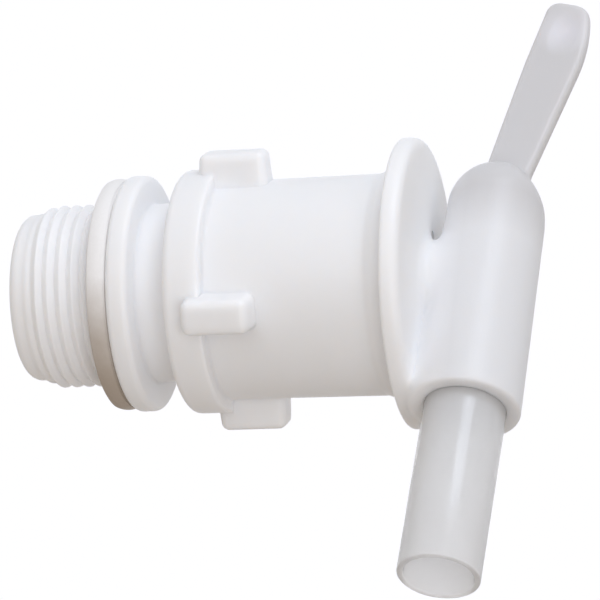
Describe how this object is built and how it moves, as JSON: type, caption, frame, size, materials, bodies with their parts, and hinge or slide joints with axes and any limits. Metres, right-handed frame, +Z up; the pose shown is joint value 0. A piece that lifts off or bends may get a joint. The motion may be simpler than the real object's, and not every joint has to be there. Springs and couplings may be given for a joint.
{
  "type": "container tap",
  "caption": "Quarter-turn container tap: threaded spigot with sealing washer, lugged collar, and a turning key with lever and clear spout tube.",
  "frame": {"origin": "on the barrel's axis, where it crosses the washer's sealing face against the container", "axes": "+X along the barrel from the container to the outlet, +Z up the key's lever in the open position, so the spout points down"},
  "size_m": [0.0798, 0.0418, 0.0989],
  "materials": {
    "body_plastic": "smooth moulded white plastic with a soft sheen",
    "key_plastic": "natural translucent moulded plastic with a soft sheen",
    "tube_plastic": "clear extruded tube, slightly milky",
    "washer_rubber": "dull tan washer",
    "seal_rubber": "soft grey sealing rubber",
    "ring_rubber": "black sealing rubber"
  },
  "bodies": {
    "body": {"tap_body": "body_plastic", "sealing_washer": "washer_rubber", "seat_seal": "seal_rubber", "air_tube": "key_plastic"},
    "key": {"turning_key": "key_plastic", "spout_tube": "tube_plastic", "port_disc": "key_plastic", "front_o_ring": "ring_rubber", "rear_o_ring": "ring_rubber"}
  },
  "joints": [
    {"name": "key_turn", "type": "hinge", "parent": "body", "child": "key", "pos_m": [0.04345, 0, 0], "axis": [1, 0, 0], "range_deg": [0, 90]}
  ]
}
